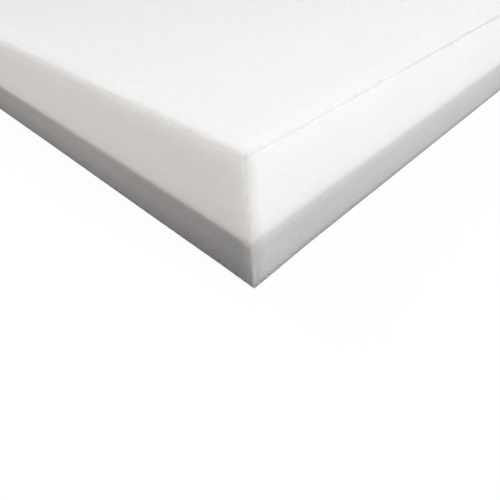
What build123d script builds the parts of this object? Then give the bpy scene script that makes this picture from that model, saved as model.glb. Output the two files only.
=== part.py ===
"""Flat acoustic foam panel: a thick soft white layer glued on a thinner grey foam backing.

The two foams are glued face to face as large sheets and the panel is then cut to size through
both of them, so their sides are flush all the way round. The glue is a film with no thickness
worth modelling. The panel lies on its grey back: +Z points out of the white sound-catching face,
X runs along the length and Y along the width, and the origin is the centre of the grey back.
Every length is in millimetres.
"""

from build123d import *
import os

# ---- driving dimensions -------------------------------------------------------------------

panel_length = 500.0            # along X, cut through both layers
panel_width = 500.0             # along Y, cut through both layers
white_thickness = 30.0          # soft open-cell face layer
grey_thickness = 20.0           # firmer grey backing layer

white_arris_radius = 2.0        # rubbed edge round the white face
white_corner_radius = 3.2       # upright corner of the white foam, up at its face
grey_corner_radius = 1.2        # upright corner of the grey foam, which the white meets at the glue
grey_arris_radius = 0.4         # slight rounding of the edge round the grey back

# ---- what follows from them ---------------------------------------------------------------

glue_height = grey_thickness                    # the plane in which the two foams are bonded
face_height = glue_height + white_thickness     # the white face

# A rounding never takes more than this share of the wall that it is cut from.
largest_share_of_wall = 0.45


def limited(radius, *walls):
    """The radius, or as much of it as the thinnest of the walls can carry."""
    return min(radius, largest_share_of_wall * min(walls))


def corner_at(height):
    """The radius of the white foam's upright corner, which grows evenly from glue to face."""
    share_of_way_up = (height - glue_height) / white_thickness
    return grey_corner_radius + share_of_way_up * (white_corner_radius - grey_corner_radius)


def cut_outline(height, corner_radius):
    """The outline that the knife cuts, with its four corners rounded, lying at a height."""
    radius = limited(corner_radius, panel_length, panel_width)
    return Plane.XY.offset(height) * RectangleRounded(panel_length, panel_width, radius)


# ---- the grey backing ---------------------------------------------------------------------


def grey_backing_layer():
    """The backing sheet: straight cut sides, crisp at the glue, just eased round the back."""
    slab = extrude(cut_outline(0.0, grey_corner_radius), grey_thickness)
    back_edges = slab.faces().sort_by(Axis.Z)[0].edges()
    # Round a corner, the arris can be no wider than the corner itself.
    radius = min(limited(grey_arris_radius, grey_thickness), grey_corner_radius)
    return fillet(back_edges, radius)


# ---- the white face -----------------------------------------------------------------------


def white_face_layer():
    """The face sheet: its corners grow rounder towards the face, where hands rub them most.

    At the glue each corner has the grey layer's radius, so the two foams meet flush there.
    """
    foot = cut_outline(glue_height, grey_corner_radius)
    head = cut_outline(face_height, white_corner_radius)
    slab = loft([foot, head], ruled=True)
    face_edges = slab.faces().sort_by(Axis.Z)[-1].edges()
    # The arris can be no wider than the corner is where the arris begins.
    radius = limited(white_arris_radius, white_thickness, panel_length, panel_width)
    radius = min(radius, corner_at(face_height - radius))
    return fillet(face_edges, radius)


# ---- write one file per layer -------------------------------------------------------------

layers = {
    "grey_backing_layer": grey_backing_layer(),
    "white_face_layer": white_face_layer(),
}

os.makedirs("parts", exist_ok=True)
for name, layer in layers.items():
    layer.label = name
    export_step(layer, f"parts/{name}.step")
    size = layer.bounding_box().size
    print(f"{name}: {size.X:.1f} x {size.Y:.1f} x {size.Z:.1f} mm, {layer.volume / 1e6:.4f} litres")
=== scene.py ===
# %% [markdown]
# # A flat acoustic foam panel
#
# The real panel is two sheets of foam glued face to face: a thick, soft, white one that catches the
# sound and a thinner grey one behind it. The pair is cut to size with a long blade, through both
# sheets at once, so the sides are flush and the two foams show as two bands.
#
# There is very little shape here, and that is the lesson. A box with sharp edges and one flat colour
# never reads as foam. What does is a softly crumbled edge, sides that wander a little where the
# blade went, light that soaks into the white foam and comes out round the corner, and a grain of
# cells that is only just there.

# %% Load the measured frame
import bmesh
import bpy
import math
from mathutils import Matrix, Vector
from types import SimpleNamespace


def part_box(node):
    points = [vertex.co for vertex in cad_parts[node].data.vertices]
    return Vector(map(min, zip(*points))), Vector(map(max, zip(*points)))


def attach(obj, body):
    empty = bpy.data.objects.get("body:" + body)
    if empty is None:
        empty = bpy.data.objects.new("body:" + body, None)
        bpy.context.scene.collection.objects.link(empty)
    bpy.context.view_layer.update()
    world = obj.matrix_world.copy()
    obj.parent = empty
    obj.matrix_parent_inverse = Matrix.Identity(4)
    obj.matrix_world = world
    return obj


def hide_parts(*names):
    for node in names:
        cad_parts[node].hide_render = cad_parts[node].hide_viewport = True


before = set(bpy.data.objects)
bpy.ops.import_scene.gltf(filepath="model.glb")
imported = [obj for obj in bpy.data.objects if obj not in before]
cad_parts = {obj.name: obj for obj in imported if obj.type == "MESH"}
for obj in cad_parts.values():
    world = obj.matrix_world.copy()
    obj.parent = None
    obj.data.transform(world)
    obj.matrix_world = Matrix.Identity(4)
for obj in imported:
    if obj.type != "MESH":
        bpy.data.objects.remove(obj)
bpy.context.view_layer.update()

# %% [markdown]
# ## The few lengths that everything follows
#
# The panel lies on its grey back, with X along its length and Y along its width. All that is built
# here takes its size and place from the two measured blocks, so nothing has to be fitted afterwards.
# Below, "front" and "back" are the two sides that face along Y, and the "ends" are the two that face
# along X. The near corner is the one between the front and the right-hand end.

# %% Sizes and places
MM = 0.001

grey_low, grey_high = (Vector(corner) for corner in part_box("grey_backing_layer"))
white_low, white_high = (Vector(corner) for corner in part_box("white_face_layer"))

length = white_high.x - white_low.x
width = white_high.y - white_low.y
back_height = grey_low.z
glue_height = grey_high.z
face_height = white_high.z
near_corner = Vector((white_high.x, white_low.y, back_height))
print(f"panel {length / MM:.0f} x {width / MM:.0f} mm, glue at {glue_height / MM:.0f} mm, "
      f"face at {face_height / MM:.0f} mm")

# %% [markdown]
# ## Where the camera stands
#
# The panel is seen from close to one corner and from above, with a fairly wide lens, so that the
# edges run away quickly on both sides. The camera is placed from that corner, in metres, and turned
# by three plain angles: round the panel, down towards it, and a slight lean of the camera itself.

# %% Camera
camera_from_corner = Vector((0.0650, -0.0627, 0.1024))
turned_round = math.radians(46.3)
tipped_down = math.radians(43.2)
leaning = math.radians(-2.9)

lens = bpy.data.cameras.new("camera")
lens.sensor_width = 36.0
lens.lens = 29.0
lens.clip_start = 0.005
camera = bpy.data.objects.new("camera", lens)
bpy.context.scene.collection.objects.link(camera)
camera.matrix_world = (
    Matrix.Translation(near_corner + camera_from_corner)
    @ Matrix.Rotation(turned_round, 4, "Z")
    @ Matrix.Rotation(math.radians(90) - tipped_down, 4, "X")
    @ Matrix.Rotation(leaning, 4, "Z")
)
bpy.context.scene.camera = camera
bpy.context.scene.view_settings.view_transform = "Standard"
print(f"camera {camera_from_corner.length / MM:.0f} mm from the near corner")

# %% [markdown]
# ## Wiring nodes in few words
#
# Materials, the background and the shape of the foam are all made of nodes. Adding and linking
# each by hand takes many lines, so this small helper adds a node per call and hands back its
# output. Anything given to it may be a number or the output of another node.

# %% Adding and linking nodes


class Plugs:
    """Adds nodes to a tree, with their inputs and settings."""

    def __init__(self, tree):
        self.tree = tree

    def plug(self, socket, value):
        """Links an output to a socket, or writes a plain value into it."""
        if isinstance(value, bpy.types.NodeSocket):
            self.tree.links.new(value, socket)
        else:
            socket.default_value = value

    def node(self, kind, inputs=(), **settings):
        """A new node. Its inputs are given by name, or by number where names repeat."""
        made = self.tree.nodes.new(kind)
        for name, value in settings.items():
            setattr(made, name, value)
        for name, value in dict(inputs).items():
            self.plug(made.inputs[name], value)
        return made

    def output(self, kind, inputs=(), **settings):
        """The first output of a new node."""
        return self.node(kind, inputs, **settings).outputs[0]


print("nodes can be added and linked")

# %% [markdown]
# A sum takes one node for each step, which is hard to read when it is written out. With a word for
# each step, `w.plus(a, b)` reads like a sum on paper.

# %% Sums in plain words


class Sums(Plugs):
    """Arithmetic on numbers. Each method returns the output that holds its result."""

    def math(self, operation, *values, clamp=False):
        return self.output("ShaderNodeMath", enumerate(values), operation=operation, use_clamp=clamp)

    def chain(self, operation, values):
        """The same operation again and again, from left to right."""
        result = values[0]
        for value in values[1:]:
            result = self.math(operation, result, value)
        return result

    def plus(self, *values):
        return self.chain("ADD", values)

    def times(self, *values):
        return self.chain("MULTIPLY", values)

    def minus(self, first, second):
        return self.math("SUBTRACT", first, second)

    def over(self, first, second, clamp=False):
        return self.math("DIVIDE", first, second, clamp=clamp)

    def power(self, base, exponent):
        return self.math("POWER", base, exponent)

    def larger(self, first, second):
        return self.math("MAXIMUM", first, second)

    def smaller(self, first, second):
        return self.math("MINIMUM", first, second)

    def size_of(self, value):
        """The value without its sign."""
        return self.math("ABSOLUTE", value)


print("sums ready")

# %% [markdown]
# Places and directions have sums of their own. Two more words do most of the work from here on.
# `slide` takes a value from one range to another, such as from a distance in metres to a tone, and
# `noise` makes smooth random values. `w` is short for wires from here to the end.

# %% Places, ranges and noise


class Wires(Sums):
    """Adds what works on places, and what turns a place into a number."""

    def arrow(self, operation, *values):
        """Arithmetic on places and directions."""
        made = self.node("ShaderNodeVectorMath", operation=operation)
        sockets = made.inputs if operation != "SCALE" else (made.inputs[0], made.inputs["Scale"])
        for socket, value in zip(sockets, values):
            self.plug(socket, value)
        return made.outputs["Value" if operation == "LENGTH" else "Vector"]

    def join(self, x=0.0, y=0.0, z=0.0):
        return self.output("ShaderNodeCombineXYZ", {"X": x, "Y": y, "Z": z})

    def split(self, place):
        return self.node("ShaderNodeSeparateXYZ", {"Vector": place}).outputs

    def slide(self, value, low, high, to_low=0.0, to_high=1.0, smooth=False):
        """Takes a value from one range to another and holds it at the ends."""
        return self.output("ShaderNodeMapRange",
                           {"Value": value, "From Min": low, "From Max": high,
                            "To Min": to_low, "To Max": to_high},
                           clamp=True, interpolation_type="SMOOTHSTEP" if smooth else "LINEAR")

    def mix(self, share, first, second):
        """The first value where the share is 0, the second where it is 1, and between in between."""
        return self.slide(share, 0.0, 1.0, first, second)

    def noise(self, place, size, detail=0.0):
        """Smooth random values from 0 to 1 whose lumps are about `size` metres wide."""
        return self.output("ShaderNodeTexNoise", {"Vector": place, "Scale": 1.0 / size,
                                                  "Detail": detail, "Roughness": 0.5})


def bare_tree(owner):
    """Empties the node tree of a material or a world and gives the wires to fill it."""
    owner.use_nodes = True
    owner.node_tree.nodes.clear()
    return Wires(owner.node_tree)


print("places, ranges and noise ready")

# %% [markdown]
# ## A bench that shows two faces
#
# The panel lies on a plain white bench. The camera should see that bench as clean white, yet a
# glowing bench would also light the foam from below and wash out its lower band. So the bench shows
# one face to the camera and another to the light. To the camera it is mostly a flat white, with a
# little of its true shading mixed in, which keeps the soft shadow where the panel rests. That share
# fades out further off, so that no horizon shows. To light that bounces it is an ordinary pale grey.
#
# Two more things are done for the panel's foot and back. Seen from below the bench is clear, so the
# back can be looked at. And where a ray of light meets the bench after less than half a millimetre,
# right under the foot, it finds a faint glow, like the light that leaks in beneath a soft edge.

# %% Who is looking
white = (1.0, 1.0, 1.0, 1.0)


def seen_by_camera(w):
    """1 for rays that reach the camera directly, by reflection or through glass."""
    path = w.node("ShaderNodeLightPath").outputs
    seen = w.larger(path["Is Camera Ray"], path["Is Glossy Ray"])
    return w.larger(seen, path["Is Transmission Ray"])


def mix_shaders(w, share, first, second):
    """The first shader where the share is 0 and the second where it is 1."""
    return w.output("ShaderNodeMixShader", {"Fac": share, 1: first, 2: second})


print("the bench and the background can tell the camera from the light")

# %% The bench's finish
bench_paleness = 0.30           # to the light
shadow_share = 0.06             # of the true shading, to the camera
shadow_whole_within = 0.5       # metres from the middle of the panel
shadow_gone_beyond = 1.6
glow_beneath = 0.55
beneath_reach = 0.5 * MM        # how far a ray travels at most under the foot

bench_material = bpy.data.materials.new("bench")
w = bare_tree(bench_material)
off_centre = w.arrow("LENGTH", w.node("ShaderNodeTexCoord").outputs["Object"])
share = w.slide(off_centre, shadow_whole_within, shadow_gone_beyond, shadow_share, 0.0, smooth=True)
shaded = w.output("ShaderNodeBsdfDiffuse", {"Color": w.join(share, share, share)})
glow = w.output("ShaderNodeEmission", {"Color": white, "Strength": w.minus(1.0, share)})
from_above = w.output("ShaderNodeAddShader", {0: shaded, 1: glow})
from_below = w.output("ShaderNodeBsdfTransparent")
underside = w.node("ShaderNodeNewGeometry").outputs["Backfacing"]
to_camera = mix_shaders(w, underside, from_above, from_below)

pale = w.output("ShaderNodeBsdfDiffuse", {"Color": (bench_paleness,) * 3 + (1,)})
beneath = w.output("ShaderNodeEmission", {"Color": white, "Strength": glow_beneath})
ray_length = w.node("ShaderNodeLightPath").outputs["Ray Length"]
to_light = mix_shaders(w, w.math("LESS_THAN", ray_length, beneath_reach), pale, beneath)
w.node("ShaderNodeOutputMaterial", {"Surface": mix_shaders(w, seen_by_camera(w), to_light, to_camera)})
print(f"bench finish of {len(bench_material.node_tree.nodes)} nodes")

# %% The bench
bench_height = back_height - 0.08 * MM      # just clear of the crumbled back
bench_reach = 6.0                           # metres each way
bench_squares = 48                          # along each side

bench_mesh = bpy.data.meshes.new("bench")
shape = bmesh.new()
bmesh.ops.create_grid(shape, x_segments=bench_squares, y_segments=bench_squares, size=bench_reach,
                      matrix=Matrix.Translation((0.0, 0.0, bench_height)))
shape.to_mesh(bench_mesh)
shape.free()
bench_mesh.materials.append(bench_material)
bench = bpy.data.objects.new("bench", bench_mesh)
bpy.context.scene.collection.objects.link(bench)
print(f"bench reaches {bench_reach:.0f} m each way")

# %% The room behind it
room_light = 0.25
room_colour = (1.0, 0.95, 0.90, 1.0)

world = bpy.data.worlds.new("room")
w = bare_tree(world)
room = w.output("ShaderNodeBackground", {"Color": room_colour, "Strength": room_light})
backdrop = w.output("ShaderNodeBackground", {"Color": white, "Strength": 1.0})
w.node("ShaderNodeOutputWorld", {"Surface": mix_shaders(w, seen_by_camera(w), room, backdrop)})
bpy.context.scene.world = world
print("white to the camera, a dim warm room to the light")

# %% [markdown]
# ## Three soft lamps
#
# The nearest lamp stands on the right, about a third of the way up the sky, and lights the
# right-hand end as brightly as the face. A large one far off on the left, half way up the sky, lights
# the face from the other side. A weak one, low in front, fills the shaded front side. The two strong
# lamps face each other across the panel, so the edge between the face and the right-hand end gets no
# more light than either, and no bright line runs along it.

# %% Lamps


def softbox(name, turn, rise, distance, size, watts, colour):
    """A square lamp facing the near corner. Its angles are in degrees: turn runs from the back
    of the panel round by the right, and rise is up from the bench."""
    data = bpy.data.lights.new(name, "AREA")
    data.shape = "SQUARE"
    data.size = size
    data.energy = watts
    data.color = colour
    lamp = bpy.data.objects.new(name, data)
    round_by, up_by = math.radians(turn), math.radians(rise)
    away = Vector((math.sin(round_by) * math.cos(up_by), math.cos(round_by) * math.cos(up_by),
                   math.sin(up_by)))
    lamp.location = near_corner + away * distance
    lamp.rotation_euler = away.to_track_quat("Z", "Y").to_euler()
    lamp.visible_camera = False
    bpy.context.scene.collection.objects.link(lamp)
    print(f"{name}: {watts} W at {distance} m")


softbox("right lamp", turn=84, rise=31, distance=0.9, size=0.5, watts=7.35, colour=(0.99, 1.0, 1.01))
softbox("left lamp", turn=275, rise=45, distance=4.0, size=2.0, watts=82.5, colour=(0.97, 1.0, 1.03))
softbox("fill lamp", turn=195, rise=8, distance=0.6, size=0.4, watts=1.86, colour=(1.0, 0.95, 0.925))

# %% [markdown]
# ## What foam looks like
#
# Open-cell foam is a mesh of fine struts. Cut through, it shows as a matt surface with a fine
# grain: every cell is a tiny cup, cells vary in size, the sheet's tone drifts a little, and
# here and there a larger pore is cut open. The middle of each cell and the inside of each pore are a
# little darker: painted shade for the shade that falls in them. A flat pattern could be wrapped
# round the block, but its joins would show. This one is worked out from the piece's own coordinates
# instead, so it runs through the block like the real cells and no edge shows a seam.

# %% Grain: cells, mottling, drift and pores


def cells(w, place, size):
    """0 at the middle of each cell and 1 on its walls."""
    made = w.node("ShaderNodeTexVoronoi", {"Vector": place, "Scale": 1.0 / size, "Randomness": 1.0},
                  feature="F1", distance="EUCLIDEAN")
    return w.slide(made.outputs["Distance"], 0.15, 0.85, smooth=True)


def pores(w, place, spacing, radius):
    """1 in a few round holes, strewn widely."""
    made = w.node("ShaderNodeTexVoronoi", {"Vector": place, "Scale": 1.0 / spacing},
                  feature="F1", distance="EUCLIDEAN")
    return w.slide(made.outputs["Distance"], radius / spacing, 0.4 * radius / spacing, smooth=True)


def around_one(w, value, by):
    """Turns 0..1 into a factor that swings round 1 by as much as `by` each way."""
    return w.slide(value, 0.2, 0.8, 1.0 - by, 1.0 + by)


def grain_tone(w, place, foam):
    """A factor near 1 for the colour."""
    return w.times(
        # The darker cell middles and pores are painted shade; the mottling and the drift are the foam's
        # own tone.
        w.mix(cells(w, place, foam.cell), foam.tone_in_cell, foam.tone_on_wall),
        around_one(w, w.noise(place, foam.mottle_size, 1.0), foam.mottle),
        around_one(w, w.noise(place, foam.drift_size, 1.0), foam.drift),
        w.mix(pores(w, place, foam.pore_spacing, foam.pore_radius), 1.0, foam.tone_in_pore),
    )


def grain_relief(w, place, foam):
    """The height of the surface, where a cell's wall stands 1 above its middle."""
    lumps = w.times(w.noise(place, foam.lump_size, 3.0), 0.8)
    holes = w.times(pores(w, place, foam.pore_spacing, foam.pore_radius), -2.0)
    return w.plus(cells(w, place, foam.cell), lumps, holes)


print("grain ready")

# %% [markdown]
# ### Where on the sheet a spot lies
#
# The tones painted below follow the form: they gather along edges, round corners, along the glue and
# at the foot. When the sheets are shaped, further down, five values are stored at every point of
# their meshes, and the materials read them back. Reading them is surer than working them out from
# coordinates, because they stay true after the foam has sagged and crumbled.
#
# A word of warning about the tones that follow. They were set by comparing, until each place looked
# right under these three lamps. The causes named beside them, such as wear, grime and dust, are
# likely ones and not known ones. Most of them are painted light and painted shade, standing in for
# light that the shader doesn't carry: the shade along the white face's edges, the band above the
# glue, the pale strip below it, the upright corners and the shade beside them, the darker foot and
# the paler ends of the grey foam, and the highlight and shadow of the tuft. Under very different
# light, those are the first to set back towards 1.

# %% Reading the sheet's marks


def reading(w, name):
    """A value that the foam's mesh carries at each point."""
    return w.node("ShaderNodeAttribute", attribute_name=name, attribute_type="GEOMETRY").outputs["Fac"]


def spot_on_sheet(w, ends_from, ends_whole):
    """The five marks and what follows from them. Lengths are in metres."""
    height = reading(w, "true_height")              # before the foam sagged or crumbled
    cross_cut = reading(w, "cross_cut")             # 0 on the front and back, 1 on the ends
    return SimpleNamespace(
        to_edge=reading(w, "to_edge"),              # to the nearest edge that isn't glued
        to_corner=reading(w, "to_corner"),          # along the side, to the nearest upright corner
        from_side=reading(w, "from_side"),          # in over the face or the back
        height=height,
        above_glue=w.minus(height, glue_height),
        below_face=w.minus(face_height, height),
        cross_cut=cross_cut,
        at_ends=w.slide(cross_cut, ends_from, ends_whole, smooth=True),
    )


print("marks can be read")

# %% [markdown]
# ### The shader
#
# Both foams end in the same shader: matt, faintly bumpy, and letting light soak in. In white foam
# light travels a few millimetres before it leaves again, which softens every edge between a bright
# and a shaded side. It soaks in less close to the glue, since it would otherwise cross from one foam
# to the other as if they were one block, and the line between them would blur.

# %% Foam shader


def tinted(w, colour, *factors):
    """A colour times each of the factors."""
    return w.arrow("SCALE", colour, w.times(*factors))


def foam_material(name, colour, relief, relief_depth, soak_from, soak_depth, rough_low, rough_high):
    """A material from two functions of a place: one gives the colour, and the other the height.
    Light soaks in fully from `soak_from` off the glue."""
    material = bpy.data.materials.new(name)
    w = bare_tree(material)
    place = w.node("ShaderNodeTexCoord").outputs["Object"]
    off_glue = w.size_of(w.minus(reading(w, "true_height"), glue_height))
    bump = w.output("ShaderNodeBump", {"Height": relief(w, place), "Distance": relief_depth,
                                       "Strength": 1.0})
    shader = w.output("ShaderNodeBsdfPrincipled", {
        "Base Color": colour(w, place),
        "Roughness": w.slide(w.noise(place, 1.5 * MM, 3.0), 0.3, 0.7, rough_low, rough_high),
        "Normal": bump,
        "Specular IOR Level": 0.05,
        "Subsurface Weight": w.slide(off_glue, 0.0, soak_from, 0.0, 1.0),
        "Subsurface Radius": (1.0, 1.0, 1.0),
        "Subsurface Scale": soak_depth,
    })
    w.node("ShaderNodeOutputMaterial", {"Surface": shader})
    print(f"{name}: {len(material.node_tree.nodes)} nodes")
    return material

# %% [markdown]
# ## White foam
#
# The white foam has very small, even cells. What brings it to life is the tone along its edges, and
# that differs from side to side. The factors below each darken or brighten one place, and fade to 1
# elsewhere. Most of them are painted shade, and a little painted light.
#
# Over the ends the edge is crisp, as a blade leaves it. A ragged, thin, darker line runs along it,
# deeper the further it is from a corner, with a wider, fainter darkening beside it. Around it lies a
# broader painted shade, which takes back the light that soaks out of the face near the edge.

# %% White grain, and the edge over the ends
white_tone = (0.900, 0.895, 0.888)
white_grain = SimpleNamespace(
    cell=0.45 * MM, tone_in_cell=0.968, tone_on_wall=1.006,
    mottle_size=1.3 * MM, mottle=0.018,
    drift_size=45 * MM, drift=0.012,
    pore_spacing=22 * MM, pore_radius=0.45 * MM, tone_in_pore=0.80,
    lump_size=1.6 * MM,
)
edge_tone_grows_from = 40 * MM       # from a corner
edge_tone_whole_from = 160 * MM


# Painted shade near the edge over the ends, against the light that soaks out of the face there.
def shade_over_ends(w, spot):
    reach = w.slide(spot.to_corner, edge_tone_grows_from, edge_tone_whole_from, 5.0 * MM, 12 * MM)
    tone = w.slide(spot.to_corner, 0.0, 5 * MM, 0.965, 0.94)
    return w.slide(spot.to_edge, 0.0, reach, tone, 1.0, smooth=True)


def line_over_ends(w, place, spot):
    depth = w.larger(w.slide(spot.to_corner, edge_tone_grows_from, edge_tone_whole_from, 0.85, 0.68),
                     w.slide(spot.to_corner, 0.0, 6 * MM, 0.90, 0.68))
    ragged = w.slide(w.noise(place, 4 * MM, 2.0), 0.3, 0.7, -0.3 * MM, 0.3 * MM)
    line = w.slide(w.plus(spot.to_edge, ragged), 0.3 * MM, 1.25 * MM,
                   w.mix(spot.at_ends, 1.0, depth), 1.0, smooth=True)
    skirt_depth = w.slide(spot.to_corner, edge_tone_grows_from, edge_tone_whole_from, 0.99, 0.96)
    skirt = w.slide(spot.to_edge, 0.6 * MM, 2.8 * MM,
                    w.mix(spot.at_ends, 1.0, skirt_depth), 1.0, smooth=True)
    return w.times(line, skirt)


print(f"white cells {white_grain.cell / MM:.2f} mm wide")

# %% [markdown]
# The front and back edges look handled, and are rolled over instead. They get painted shade on the
# face just before the roll, deepest on the roll itself, which takes back the brighter band the lamps
# give the roll. Below it the side starts with a slight painted glow, for light that soaked into the
# face and comes out again.

# %% The rolled edge at the front and back
hem_end = 2.7 * MM


# Painted shade on and just before the roll, and a painted glow just below it.
def rolled_edge_shade(w, spot):
    rim = w.slide(spot.to_corner, 45 * MM, 110 * MM, 0.965, 0.95)
    roll = w.larger(w.slide(spot.to_corner, 0.0, 36 * MM, 0.918, 0.895),
                    w.slide(spot.to_corner, 24 * MM, 60 * MM, 0.89, 0.93))
    hem = w.times(w.slide(spot.from_side, 0.0, 4.0 * MM, rim, 1.0),
                  w.slide(spot.below_face, 0.0, 0.15 * MM, 1.0, roll),
                  w.slide(spot.below_face, 0.15 * MM, 0.8 * MM, 1.0, 0.96))
    hem_start = w.slide(spot.to_corner, 8 * MM, 24 * MM, 1.0 * MM, 0.8 * MM)
    glow = w.slide(spot.below_face, hem_end, 10 * MM, 1.012, 1.0)
    return w.slide(spot.below_face, hem_start, hem_end, hem, glow, smooth=True)


print(f"hem ends {hem_end / MM:.1f} mm below the face")

# %% [markdown]
# Close above the glue the grey foam takes away some of the light that has soaked into the white.
# Light doesn't soak from one piece into the other here, so it is painted as a tone.
# That gives a narrow band of painted shade, with a wide, faint one above it on the front and back and
# a fine painted line on the ends. The upright corners get painted shade too, most of all on the end's
# side, and come back to the plain tone within several millimetres.

# %% Above the glue, and round the upright corners
side_marks_reach = 2.0 * MM     # how far the sides' marks run on over the face or the back


def shade_above_glue(w, spot):
    narrow = w.mix(spot.at_ends, 0.84, 0.875)
    wide = w.mix(spot.at_ends, w.slide(spot.to_corner, 0.0, 60 * MM, 0.955, 0.985), 1.01)
    # The seam is a fine painted line of shade right at the glue on the ends.
    seam = w.mix(spot.at_ends, 1.0, 0.945)
    shade = w.times(w.slide(spot.above_glue, 0.0, 2.4 * MM, narrow, 1.0, smooth=True),
                    w.slide(spot.above_glue, 0.0, 12 * MM, wide, 1.0),
                    w.slide(spot.above_glue, 0.0, 0.9 * MM, seam, 1.0))
    return w.power(shade, w.slide(spot.to_corner, 0.0, 3 * MM, 0.4, 1.0))


# Painted shade round the upright corners, deepest on the end's side.
def white_upright_shade(w, spot):
    on_end = w.slide(spot.above_glue, 3 * MM, 17 * MM, 0.78, 0.86)
    turning = w.slide(spot.cross_cut, 0.1, 0.65, 0.97, on_end, smooth=True)
    reach = w.slide(spot.above_glue, 2 * MM, 12 * MM, 7.6 * MM, 5.2 * MM)
    tone = w.slide(spot.to_corner, 0.5 * MM, reach, turning, 1.0, smooth=True)
    near_face = w.power(tone, 0.6)
    tone = w.slide(spot.below_face, 0.5 * MM, 4.0 * MM, near_face, tone, smooth=True)
    return w.slide(spot.from_side, 0.0, side_marks_reach, tone, 1.0)


print("glue line and upright corners ready")

# %% [markdown]
# One torn tuft stands on the front side, with a pit beside it where it was pulled out. Both are too
# small to be worth a mesh of their own, so they are egg-shaped spots in the tone and in the bump.
# The tuft is painted lighter, partly as a highlight where it stands up into the light, and the pit's
# darker tone is painted shadow beside it.

# %% The torn tuft
tuft_place = near_corner + Vector((-0.0985, 0.0, 0.0443))
tuft_reach = (0.95 * MM, 3.0 * MM, 1.5 * MM)
pit_place = near_corner + Vector((-0.0962, 0.0, 0.0462))
pit_reach = (0.8 * MM, 3.0 * MM, 0.9 * MM)


def blob(w, place, centre, reach):
    """1 inside an egg-shaped spot and 0 outside it. The reach is half its size along X, Y and Z."""
    away = w.arrow("DIVIDE", w.arrow("SUBTRACT", place, centre), reach)
    return w.slide(w.arrow("LENGTH", away), 0.55, 1.0, 1.0, 0.0, smooth=True)


# A painted highlight on the tuft and painted shadow in the pit beside it.
def tuft_highlight_and_shadow(w, place):
    return w.times(w.mix(blob(w, place, tuft_place, tuft_reach), 1.0, 1.16),
                   w.mix(blob(w, place, pit_place, pit_reach), 1.0, 0.88))


def torn_relief(w, place):
    return w.minus(w.times(blob(w, place, tuft_place, tuft_reach), 3.0),
                   w.times(blob(w, place, pit_place, pit_reach), 2.0))


print(f"tuft {(near_corner.x - tuft_place.x) / MM:.0f} mm from the near corner")

# %% White foam, put together


def white_colour(w, place):
    spot = spot_on_sheet(w, ends_from=0.5, ends_whole=0.98)
    # Painted shade along the face's edges: on the rolled front and back, and beside the edge over the
    # ends.
    painted_edge_shade = w.mix(spot.at_ends, rolled_edge_shade(w, spot), shade_over_ends(w, spot))
    return tinted(w, white_tone, grain_tone(w, place, white_grain), painted_edge_shade, line_over_ends(w, place, spot),
                  shade_above_glue(w, spot), white_upright_shade(w, spot), tuft_highlight_and_shadow(w, place))


def white_relief(w, place):
    return w.plus(grain_relief(w, place, white_grain), torn_relief(w, place))


white_foam = foam_material("white foam", white_colour, white_relief, relief_depth=0.085 * MM,
                           soak_from=4.0 * MM, soak_depth=6.0 * MM, rough_low=0.88, rough_high=0.98)

# %% [markdown]
# ## Grey foam
#
# The grey foam is the same stuff with larger cells, so its grain shows more. Towards its foot it
# gets darker, in painted shade where it stands on the bench. Just under the glue it is paler, in
# painted light, as if light came down into it from the white foam. Its ends are raised to 1.30
# times the plain tone, because under these lamps they came out too dark, which is painted light too.

# %% Grey grain, painted shade at the foot and painted light under the glue
grey_tone = (0.401, 0.400, 0.400)
grey_grain = SimpleNamespace(
    cell=0.70 * MM, tone_in_cell=0.965, tone_on_wall=1.015,
    mottle_size=1.4 * MM, mottle=0.032,
    drift_size=40 * MM, drift=0.02,
    pore_spacing=15 * MM, pore_radius=0.6 * MM, tone_in_pore=0.75,
    lump_size=2.2 * MM,
)


# Painted shade: darker towards the foot, most of all within a few millimetres of the bench.
def shade_at_foot(w, spot):
    contact_shade_reach = w.mix(spot.at_ends, 2.2 * MM, 3.6 * MM)
    contact_shade = w.slide(spot.height, 0.0, contact_shade_reach, w.mix(spot.at_ends, 0.62, 0.63), 1.0, smooth=True)
    low_shade_reach = w.mix(spot.at_ends, 12 * MM, 10 * MM)
    low_shade = w.slide(spot.height, 0.0, low_shade_reach,
                      w.mix(spot.at_ends, 0.68, 0.87), w.mix(spot.at_ends, 0.95, 1.0))
    return w.times(contact_shade, low_shade)


# Painted light: the ends 1.30 times paler all over, a paler strip just under the glue, and a fine paler
# line at the glue on the ends.
def light_under_glue(w, spot):
    all_over = w.mix(spot.at_ends, 1.0, 1.30)
    rise = w.slide(spot.height, glue_height - 7.0 * MM, glue_height)
    near_glue = w.power(rise, w.mix(spot.at_ends, 6.0, 2.0))
    paler_under_glue = w.plus(1.0, w.times(near_glue, w.mix(spot.at_ends, 0.66, 0.28)))
    seam = w.slide(spot.height, glue_height - 0.9 * MM, glue_height, 1.0, w.mix(spot.at_ends, 1.0, 1.05))
    return w.times(all_over, paler_under_glue, seam)


print(f"grey cells {grey_grain.cell / MM:.2f} mm wide")

# %% Grey foam, put together


def grey_upright_light_and_shade(w, spot):
    """Pale in painted light on the front's or back's side of each upright corner, and dark in painted
    shade on the end's. A wide, faint painted shade runs off along the front and back."""
    on_end = w.slide(spot.height, 10 * MM, 19 * MM, 0.84, 0.78)
    turning = w.slide(spot.cross_cut, 0.1, 0.7, 1.22, on_end, smooth=True)
    tone = w.slide(spot.to_corner, 0.3 * MM, 6.5 * MM, turning, 1.0, smooth=True)
    painted_falloff = w.slide(spot.to_corner, 5.0 * MM, 90 * MM, w.mix(spot.at_ends, 0.925, 1.0), 1.0, smooth=True)
    return w.times(tone, painted_falloff)


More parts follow.
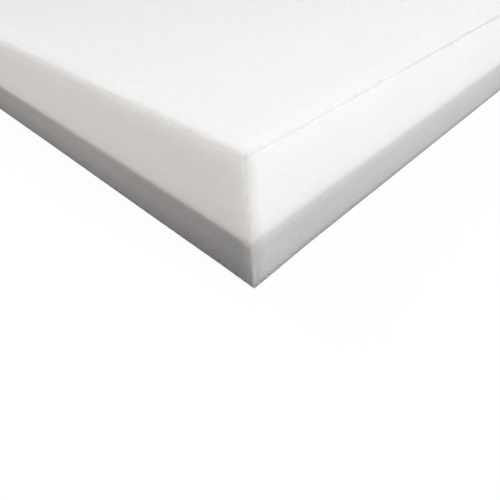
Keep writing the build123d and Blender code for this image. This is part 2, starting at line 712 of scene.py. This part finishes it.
def grey_colour(w, place):
    spot = spot_on_sheet(w, ends_from=0.2, ends_whole=0.8)
    on_sides = w.times(shade_at_foot(w, spot), light_under_glue(w, spot), grey_upright_light_and_shade(w, spot))
    marks = w.slide(spot.from_side, 0.0, side_marks_reach, on_sides, 1.0)
    return tinted(w, grey_tone, grain_tone(w, place, grey_grain), marks)


def grey_relief(w, place):
    return grain_relief(w, place, grey_grain)


grey_foam = foam_material("grey foam", grey_colour, grey_relief, relief_depth=0.09 * MM,
                          soak_from=2.5 * MM, soak_depth=4.0 * MM, rough_low=0.9, rough_high=1.0)

# %% [markdown]
# ## One rule for both sheets
#
# Each sheet is a slab whose shape follows a rule: a rounded rectangle all the way round, and a
# rounded edge above and below. It could be carved from a cube with bevels, but then the points would
# be spread evenly, too many in the flat middle and too few along the edge, where foam shows its
# character. So one Geometry Nodes tree wraps a flat grid round the sheet. Across the grid the points
# walk round the outline. Along it they go from the middle of the face out to the edge, down the side
# and back to the middle underneath, and crowd together at the edges.

# %% Rows of points from the middle of the face to the middle of the back
rows_on_rounding = 5        # on each half of a rounded edge
rows_on_side = 9            # from a rounded edge to half way down the side
rows_on_face = 12           # from a rounded edge to the middle of the face
face_row_crowding = 2.6     # how strongly they gather at the edge
side_row_crowding = 1.8
corner_crowding = 0.8       # how strongly columns gather at the four corners, from 0 to 1

face_rows = rows_on_rounding + rows_on_face
side_rows = rows_on_rounding + rows_on_side
all_rows = 2 * (face_rows + side_rows)
print(f"{all_rows + 1} rows of points")

# %% [markdown]
# ### The tree and its inputs
#
# Every size that differs between the sheets, or that someone may want to change, is a named input.
# The tree starts from a flat grid one metre square, and works out for each of its points which
# column it is in, as a walk of four sides round the outline, and which row.

# %% Inputs and the flat grid
tree = bpy.data.node_groups.new("foam sheet", "GeometryNodeTree")
tree.is_modifier = True
sheet_sizes = (
    "Length", "Width", "Foot Height", "Head Height",
    "Foot Corner", "Head Corner",       # radius of the upright corners
    "Foot Arris", "Head Arris",         # radius of the edges below and above
    "End Share",                        # how much of the arris there is over the ends
    "Foot Glued", "Head Glued",         # 1 puts that edge a metre off, so that no wear counts there
    "Blade Wander", "Foot Wave", "Head Wave", "Foot Sag", "Head Sag", "Foot Lean", "Crumble", "Seed",
)
sheet_inputs = {name: "NodeSocketFloat" for name in sheet_sizes}
sheet_inputs["Columns per Side"] = "NodeSocketInt"
sheet_inputs["Foam"] = "NodeSocketMaterial"
for name, kind in sheet_inputs.items():
    tree.interface.new_socket(name=name, in_out="INPUT", socket_type=kind)
tree.interface.new_socket(name="Geometry", in_out="OUTPUT", socket_type="NodeSocketGeometry")
w = Wires(tree)
given = w.node("NodeGroupInput").outputs

columns = w.plus(w.times(given["Columns per Side"], 4.0), 1.0)
grid = w.output("GeometryNodeMeshGrid", {"Size X": 1.0, "Size Y": 1.0, "Vertices X": columns,
                                         "Vertices Y": all_rows + 1})
here = w.split(w.output("GeometryNodeInputPosition"))
round_about = w.times(w.plus(here["X"], 0.5), 4.0)
row = w.times(w.plus(here["Y"], 0.5), float(all_rows))
print(f"tree with {len(sheet_inputs)} inputs begun")

# %% [markdown]
# ### From columns to a sharp outline
#
# The walk round the outline is slowed near the corners, so that more columns fall there. It gives
# each column a place on a rectangle with sharp corners, and from that its distance from the ends and
# from the front or back. On the white sheet the edge over the ends is tighter than the one over the
# front and back, and round each corner the one turns into the other.

# %% Sharp outline
whole_arris_until = 8 * MM      # from a corner, along the front and back: nearer, the arris shrinks
end_arris_from = 5 * MM         # from a corner, along the ends: here it is down to its share


def walk(w, along, start):
    """One coordinate of a walk round a square from -1 to 1, four steps long."""
    place = w.math("FLOORED_MODULO", w.minus(along, start), 4.0)
    ramp = w.minus(w.size_of(w.minus(place, 2.0)), 1.0)
    doubled = w.times(ramp, 2.0)
    return w.larger(w.smaller(doubled, 1.0), -1.0)


half_length = w.times(given["Length"], 0.5)
half_width = w.times(given["Width"], 0.5)
half_shorter = w.smaller(half_length, half_width)

side_number = w.math("FLOOR", round_about)
share_along = w.math("FRACT", round_about)
eased = w.slide(share_along, 0.0, 1.0, smooth=True)
slowed = w.plus(share_along, w.times(w.minus(eased, share_along), corner_crowding))
along = w.plus(side_number, slowed)
sharp = w.join(w.times(walk(w, along, 0.5), half_length), w.times(walk(w, along, 1.5), half_width))

from_end = w.minus(half_length, w.size_of(w.split(sharp)["X"]))
from_front_back = w.minus(half_width, w.size_of(w.split(sharp)["Y"]))
to_corner = w.plus(from_end, from_front_back)
end_share = w.slide(w.minus(from_front_back, from_end), -whole_arris_until, end_arris_from,
                    1.0, given["End Share"], smooth=True)
print(f"outline, {len(tree.nodes)} nodes so far")

# %% [markdown]
# ### From rows to a rounded section
#
# Every row first gets a place on a sharp-edged section: so far in from the side, or so far down from
# the face. Then comes the trick that rounds it. The point is held inside a smaller section, inset by
# the radius, and pushed back out by exactly that radius. On the flats nothing moves, and near
# an edge the points land on an arc.

# %% Rounded section


def from_sharp_edge(w, steps, radius, reach, rows, crowding):
    """How far a row lies from the sharp edge, in metres, from the number of steps it is away."""
    on_rounding = w.times(radius, w.smaller(w.over(steps, rows_on_rounding), 1.0))
    beyond = w.over(w.minus(steps, rows_on_rounding), rows, clamp=True)
    further = w.times(w.minus(reach, radius), w.power(beyond, crowding))
    return w.plus(on_rounding, further)


from_head_edge = w.minus(row, float(face_rows))
from_foot_edge = w.minus(float(face_rows + 2 * side_rows), row)
is_foot = w.math("GREATER_THAN", row, float(face_rows + side_rows))
is_head = w.minus(1.0, is_foot)
steps = w.plus(w.times(from_foot_edge, is_foot), w.times(from_head_edge, is_head))

thickness = w.minus(given["Head Height"], given["Foot Height"])
half_thickness = w.times(thickness, 0.5)
arris = w.times(w.mix(is_foot, given["Head Arris"], given["Foot Arris"]), end_share)

face_steps = w.larger(w.times(steps, -1.0), 0.0)
side_steps = w.larger(steps, 0.0)
inward = from_sharp_edge(w, face_steps, arris, half_shorter, rows_on_face, face_row_crowding)
down = from_sharp_edge(w, side_steps, arris, half_thickness, rows_on_side, side_row_crowding)

held = w.join(w.larger(inward, arris), w.larger(down, arris))
outwards = w.arrow("NORMALIZE", w.arrow("SUBTRACT", w.join(inward, down), held))
section = w.split(w.arrow("ADD", held, w.arrow("SCALE", outwards, arris)))
inset, drop = section["X"], section["Y"]

height = w.plus(w.times(is_foot, w.plus(given["Foot Height"], drop)),
                w.times(is_head, w.minus(given["Head Height"], drop)))
share_up = w.over(w.minus(height, given["Foot Height"]), thickness)
glued = w.mix(is_foot, given["Head Glued"], given["Foot Glued"])
to_edge = w.plus(w.larger(inward, down), glued)
print(f"section, {len(tree.nodes)} nodes so far")

# %% [markdown]
# ### Rounded corners, and the grid wrapped round
#
# The same trick rounds the four upright corners, this time on the outline. Rows on the face and the
# back then shrink towards the middle, like frames set inside one another. The five marks that the
# materials read are stored while the grid is still flat, because they are worked out from its rows
# and columns.

# %% Rounded outline
corner = w.mix(share_up, given["Foot Corner"], given["Head Corner"])
limit = w.join(w.minus(half_length, corner), w.minus(half_width, corner))
held = w.arrow("MAXIMUM", w.arrow("MINIMUM", sharp, limit), w.arrow("SCALE", limit, -1.0))
facing = w.arrow("NORMALIZE", w.arrow("SUBTRACT", sharp, held))
outline = w.arrow("ADD", held, w.arrow("SCALE", facing, corner))

near_inset = w.smaller(inset, arris)
shrunk = w.over(w.minus(inset, near_inset), w.minus(half_shorter, arris))
ring = w.arrow("SCALE", w.arrow("SUBTRACT", outline, w.arrow("SCALE", facing, near_inset)),
               w.minus(1.0, shrunk))

marks = {
    "to_edge": to_edge,
    "to_corner": to_corner,
    "true_height": height,
    "from_side": w.times(shrunk, half_shorter),
    "cross_cut": w.size_of(w.split(facing)["X"]),
}
marked = grid
for name, value in marks.items():
    marked = w.output("GeometryNodeStoreNamedAttribute",
                      {"Geometry": marked, "Name": name, "Value": value},
                      data_type="FLOAT", domain="POINT")
wrapped = w.output("GeometryNodeSetPosition",
                   {"Geometry": marked, "Position": w.arrow("ADD", ring, w.join(z=height))})
closed = w.output("GeometryNodeMergeByDistance", {"Geometry": wrapped, "Distance": 0.001 * MM})
print(f"{len(marks)} marks stored, {len(tree.nodes)} nodes so far")

# %% [markdown]
# ### Where the blade went
#
# The sheet is now perfect, which foam never is. A few small moves of its points undo that. The first
# two are slow: the cut sides wander in and out, and the glued faces and the open face rise and fall,
# all by a fraction of a millimetre. Both sheets use the same seed and read the same places, so their
# sides stay flush and their glued faces still meet.

# %% Wander and waves
wander_size = 70 * MM
wave_size = 110 * MM


def swing(w, place, size, detail=0.0):
    """Noise from about -1 to 1."""
    return w.times(w.minus(w.noise(place, size, detail), 0.5), 2.5)


position = w.output("GeometryNodeInputPosition")
normal = w.output("GeometryNodeInputNormal")
seeded = w.arrow("ADD", position, w.join(given["Seed"], given["Seed"], given["Seed"]))
flat_place = w.arrow("MULTIPLY", seeded, (1.0, 1.0, 0.0))
up_share = w.slide(w.split(position)["Z"], given["Foot Height"], given["Head Height"])

sideways = w.arrow("MULTIPLY", normal, (1.0, 1.0, 0.0))
wandering = w.times(given["Blade Wander"], swing(w, flat_place, wander_size))
wander = w.arrow("SCALE", sideways, wandering)
rolling = w.times(w.mix(up_share, given["Foot Wave"], given["Head Wave"]),
                  swing(w, flat_place, wave_size))
print(f"wander and waves, {len(tree.nodes)} nodes so far")

# %% [markdown]
# Foam also gives, most likely where it is handled. The near corner and the front edge are down a little
# where the two sheets meet, most of all at the very tip, so the glue line sags there by about a
# millimetre. Each press is deepest at its place and fades away from it. The foot of the grey sheet
# leans out at the ends, perhaps where the firmer foam pushed the blade aside, and at the near corner
# it leans forward as well.

# %% Sag
corner_press = 0.6              # shares of the sag
front_press = 0.4
tip_press = 0.37
corner_press_reach = 12 * MM    # over this length it falls to about a third, and so on
front_press_reach = 10 * MM
tip_along_front = 14 * MM       # beyond this it is gone
tip_along_end = 4 * MM

from_right = w.minus(half_length, w.split(position)["X"])
from_front = w.plus(half_width, w.split(position)["Y"])
from_corner = w.plus(w.times(from_right, 0.5), from_front)
at_corner = w.math("EXPONENT", w.over(from_corner, -corner_press_reach))
at_front = w.math("EXPONENT", w.over(from_front, -front_press_reach))
at_tip = w.times(w.slide(from_right, 0.0, tip_along_front, 1.0, 0.0, smooth=True),
                 w.slide(from_front, 0.0, tip_along_end, 1.0, 0.0))
pressed = w.plus(w.times(at_corner, corner_press), w.times(at_front, front_press),
                 w.times(at_tip, tip_press))
sag = w.times(w.mix(up_share, given["Foot Sag"], given["Head Sag"]), pressed)
lift = w.join(z=w.minus(rolling, sag))
print(f"sag, {len(tree.nodes)} nodes so far")

# %% Lean
lean_reach = 10 * MM            # how far in from an end the foot leans at all
lean_fades_over = 32 * MM       # along the end, from the front
lean_further_back = 0.22        # the share of the lean that is left there
forward_share = 0.25            # of the lean, at the near corner
forward_from_front = 10 * MM    # beyond this it doesn't lean forward
forward_from_end = 15 * MM

end_place = w.split(position)["X"]
near_end = w.slide(w.size_of(end_place), w.minus(half_length, lean_reach), half_length)
fading = w.slide(from_front, 0.0, lean_fades_over, 1.0, lean_further_back, smooth=True)
lean = w.times(w.mix(up_share, given["Foot Lean"], 0.0), fading)
forward = w.times(w.slide(from_front, 0.0, forward_from_front, -forward_share, 0.0),
                  w.slide(from_right, 0.0, forward_from_end, 1.0, 0.0))
leant = w.join(x=w.times(near_end, w.math("SIGN", end_place), lean), y=w.times(forward, lean))
print(f"lean, {len(tree.nodes)} nodes so far")

# %% [markdown]
# Last comes the only fast move: the surface crumbles in and out by less than about a tenth of a
# millimetre, most of all along the edges that aren't glued.
#
# The grid was wrapped with its back outwards. A render doesn't show that, but a mesh is only sound
# when its faces point out of the foam, so they are turned over. Points that now coincide are merged
# once more, and the tree ends by making everything real and giving it its foam.

# %% Crumble, and the end of the tree
crumb_size = 2.5 * MM
crumble_all_over = 0.35
crumbly_edge = 1.5 * MM

stored = w.output("GeometryNodeInputNamedAttribute", {"Name": "to_edge"}, data_type="FLOAT")
near_edge = w.slide(stored, 0.0, crumbly_edge, 1.0, 0.0)
crumbling = w.times(given["Crumble"], w.plus(crumble_all_over, near_edge))
crumbs = w.arrow("SCALE", normal, w.times(crumbling, swing(w, seeded, crumb_size, 3.0)))

moved = w.arrow("ADD", w.arrow("ADD", wander, lift), w.arrow("ADD", crumbs, leant))
cut = w.output("GeometryNodeSetPosition", {"Geometry": closed, "Offset": moved})
turned_out = w.output("GeometryNodeFlipFaces", {"Mesh": cut})
clean = w.output("GeometryNodeMergeByDistance", {"Geometry": turned_out, "Distance": 0.001 * MM})
smooth = w.output("GeometryNodeSetShadeSmooth", {"Geometry": clean})
real = w.output("GeometryNodeRealizeInstances", {"Geometry": smooth})
foam_set = w.output("GeometryNodeSetMaterial", {"Geometry": real, "Material": given["Foam"]})
w.node("NodeGroupOutput", {"Geometry": foam_set})
print(f"tree of {len(tree.nodes)} nodes")

# %% [markdown]
# ## Cutting the two sheets
#
# The tree is now used twice. A modifier's inputs are set by each socket's identifier, before the
# object is first evaluated. The result is then turned into a plain mesh, and the modifier goes. The
# volume is measured with its sign, because a sheet that is inside out would come out negative.

# %% A sheet from the tree


def litres_inside(mesh):
    """The volume, which comes out negative if the faces point inwards."""
    shape = bmesh.new()
    shape.from_mesh(mesh)
    cubic_metres = shape.calc_volume(signed=True)
    shape.free()
    return 1000 * cubic_metres


def foam_sheet(name, sizes):
    """A plain mesh object made by the tree with these inputs."""
    holder = bpy.data.objects.new(name + " holder", bpy.data.meshes.new(name + " holder"))
    bpy.context.scene.collection.objects.link(holder)
    modifier = holder.modifiers.new("foam sheet", "NODES")
    modifier.node_group = tree
    for socket in tree.interface.items_tree:
        if socket.in_out == "INPUT":
            modifier[socket.identifier] = sizes[socket.name]
    graph = bpy.context.evaluated_depsgraph_get()
    mesh = bpy.data.meshes.new_from_object(holder.evaluated_get(graph), depsgraph=graph,
                                           preserve_all_data_layers=True)
    mesh.name = name
    bpy.data.objects.remove(holder)
    sheet = bpy.data.objects.new(name, mesh)
    bpy.context.scene.collection.objects.link(sheet)
    triangles = sum(len(face.vertices) - 2 for face in mesh.polygons)
    print(f"{name}: {len(mesh.vertices)} points, {triangles} triangles, "
          f"{litres_inside(mesh):.3f} litres inside")
    return sheet

# %% [markdown]
# ### Sizes of the two sheets
#
# What the sheets share is written once, so that they meet: their length and width, the wander of the
# blade, the wave and sag of the glue line, and the corner there. The white sheet's edge is rounded
# by wear at the face and almost sharp at the glue. The grey sheet stays nearly sharp all round, but
# it is the coarser foam and crumbles more.

# %% White sheet and grey sheet
corner_at_glue = 1.8 * MM
arris_at_glue = 0.01 * MM
glue_wave = 0.12 * MM
glue_sag = 0.95 * MM
shared = {"Length": length, "Width": width, "Columns per Side": 400,
          "Blade Wander": 0.12 * MM, "Seed": 3.0}

white_sheet = foam_sheet("white_sheet", shared | {
    "Foot Height": glue_height, "Head Height": face_height,
    "Foot Corner": corner_at_glue, "Head Corner": 3.2 * MM,
    "Foot Arris": arris_at_glue, "Head Arris": 2.6 * MM, "End Share": 0.46,
    "Foot Glued": 1.0, "Head Glued": 0.0,
    "Foot Wave": glue_wave, "Head Wave": 0.25 * MM,
    "Foot Sag": glue_sag, "Head Sag": 0.0,
    "Foot Lean": 0.0, "Crumble": 0.03 * MM,
    "Foam": white_foam,
})

grey_sheet = foam_sheet("grey_sheet", shared | {
    "Foot Height": back_height, "Head Height": glue_height,
    "Foot Corner": 0.3 * MM, "Head Corner": corner_at_glue,
    "Foot Arris": 0.2 * MM, "Head Arris": arris_at_glue, "End Share": 1.0,
    "Foot Glued": 0.0, "Head Glued": 1.0,
    "Foot Wave": 0.0, "Head Wave": glue_wave,
    "Foot Sag": 0.0, "Head Sag": glue_sag,
    "Foot Lean": 0.68 * MM, "Crumble": 0.08 * MM,
    "Foam": grey_foam,
})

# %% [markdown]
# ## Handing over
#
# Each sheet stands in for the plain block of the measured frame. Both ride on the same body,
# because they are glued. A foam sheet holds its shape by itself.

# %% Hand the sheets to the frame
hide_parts("white_face_layer")
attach(white_sheet, "root")

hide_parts("grey_backing_layer")
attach(grey_sheet, "root")
print("two sheets on one body")
